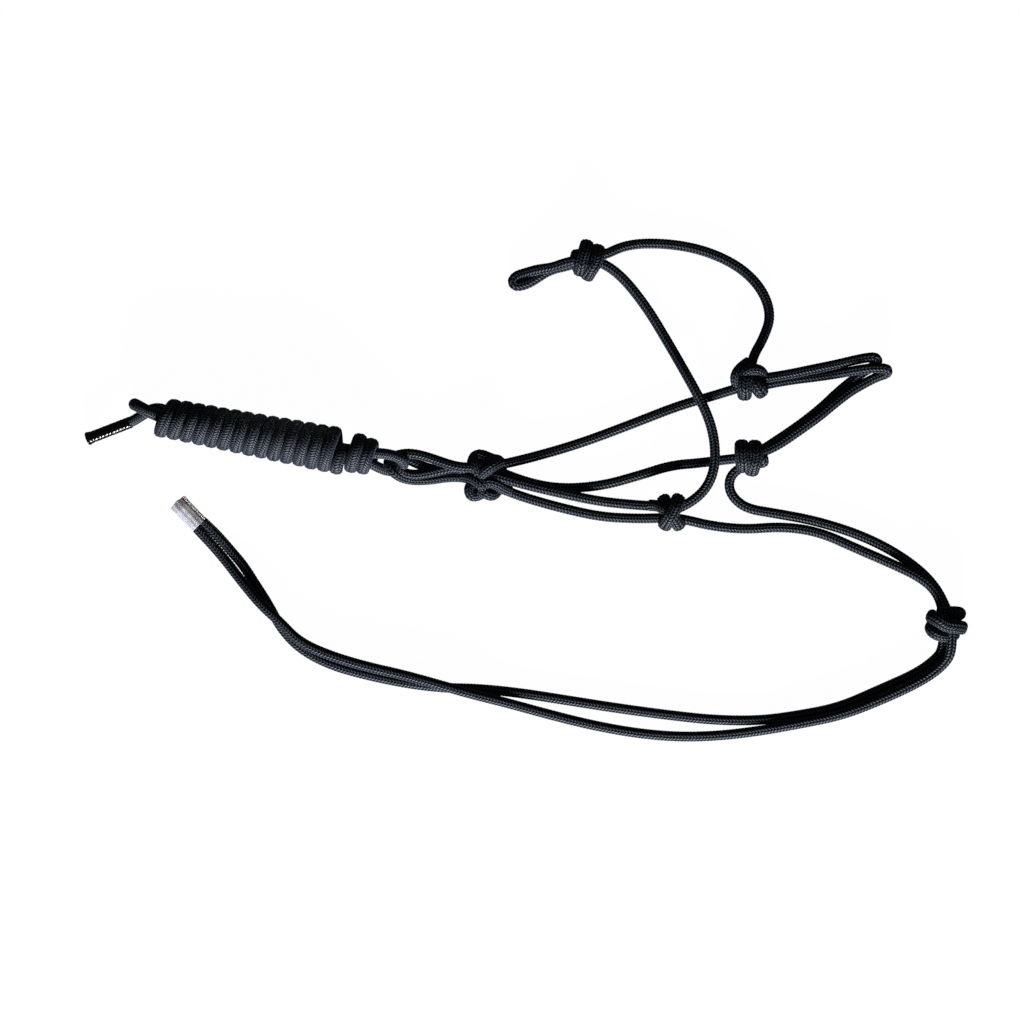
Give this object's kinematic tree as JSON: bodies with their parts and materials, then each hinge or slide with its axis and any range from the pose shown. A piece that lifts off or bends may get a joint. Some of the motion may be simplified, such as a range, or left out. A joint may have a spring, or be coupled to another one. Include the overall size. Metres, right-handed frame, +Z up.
{
  "type": "rope halter",
  "caption": "Knotted rope halter laid flat: noseband, cheek, throat and chin cords, long crown tails crimped in a metal sleeve, and a thicker lead rope wound into a hank.",
  "frame": {"origin": "under the middle of the whole object, on the surface that it lies on", "axes": "+X along the chin cords towards the nose, +Y towards the tie loop, +Z up"},
  "size_m": [0.7279, 0.4154, 0.0365],
  "materials": {
    "halter_cord": "matte braided polyester cord, black",
    "lead_rope": "softer braided rope, black",
    "ferrule_metal": "brushed and crimped",
    "end_sleeve": "glossy shrunk sleeve, black"
  },
  "bodies": {
    "halter_base": {"fiador_knot": "halter_cord", "chin_left": "halter_cord", "chin_right": "halter_cord", "fiador_strand_upper": "halter_cord", "fiador_strand_lower": "halter_cord", "throat_knot": "halter_cord", "nose_knot_left": "halter_cord", "nose_knot_right": "halter_cord", "cheek_right": "halter_cord", "throat_right": "halter_cord", "crown_knot": "halter_cord"},
    "left_side": {"tie_loop_knot": "halter_cord", "cheek_left": "halter_cord", "throat_left": "halter_cord"},
    "loop_end": {"tie_loop": "halter_cord"},
    "noseband": {"noseband_strand_outer": "halter_cord", "noseband_strand_inner": "halter_cord"},
    "crown_tails": {"crown_tail_a": "halter_cord", "crown_tail_b": "halter_cord", "crown_ferrule": "ferrule_metal"},
    "lead": {"lead_loop_outer": "halter_cord", "lead_loop_inner": "halter_cord", "lead_eye": "lead_rope", "lead_core_upper": "lead_rope", "lead_core_lower": "lead_rope", "lead_hank": "lead_rope", "lead_hank_end_turns": "lead_rope", "lead_bight": "lead_rope", "lead_tail_root": "lead_rope"},
    "lead_end": {"lead_tail": "lead_rope", "lead_tail_sleeve": "end_sleeve"}
  },
  "joints": [
    {"name": "nose_open", "type": "hinge", "parent": "halter_base", "child": "noseband", "pos_m": [0.184, 0.058, 0.012], "axis": [0.0161, -0.9999, 0], "range_deg": [0, 75]},
    {"name": "left_open", "type": "hinge", "parent": "halter_base", "child": "left_side", "pos_m": [0.1407, -0.0107, 0.013], "axis": [0.3691, 0.9294, 0], "range_deg": [0, 60]},
    {"name": "tie_loop_flex", "type": "hinge", "parent": "left_side", "child": "loop_end", "pos_m": [0.05, 0.19, 0.012], "axis": [0, 0, 1], "range_deg": [-12, 8]},
    {"name": "crown_swing", "type": "hinge", "parent": "halter_base", "child": "crown_tails", "pos_m": [0.3455, -0.1095, 0.013], "axis": [0, 0, 1], "range_deg": [-2, 20]},
    {"name": "lead_swing", "type": "hinge", "parent": "halter_base", "child": "lead", "pos_m": [-0.036, 0.0115, 0.014], "axis": [0, 0, 1], "range_deg": [-20, 3]},
    {"name": "lead_end_flex", "type": "hinge", "parent": "lead", "child": "lead_end", "pos_m": [-0.3256, 0.0572, 0.0115], "axis": [0, 0, 1], "range_deg": [-8, 8]}
  ]
}
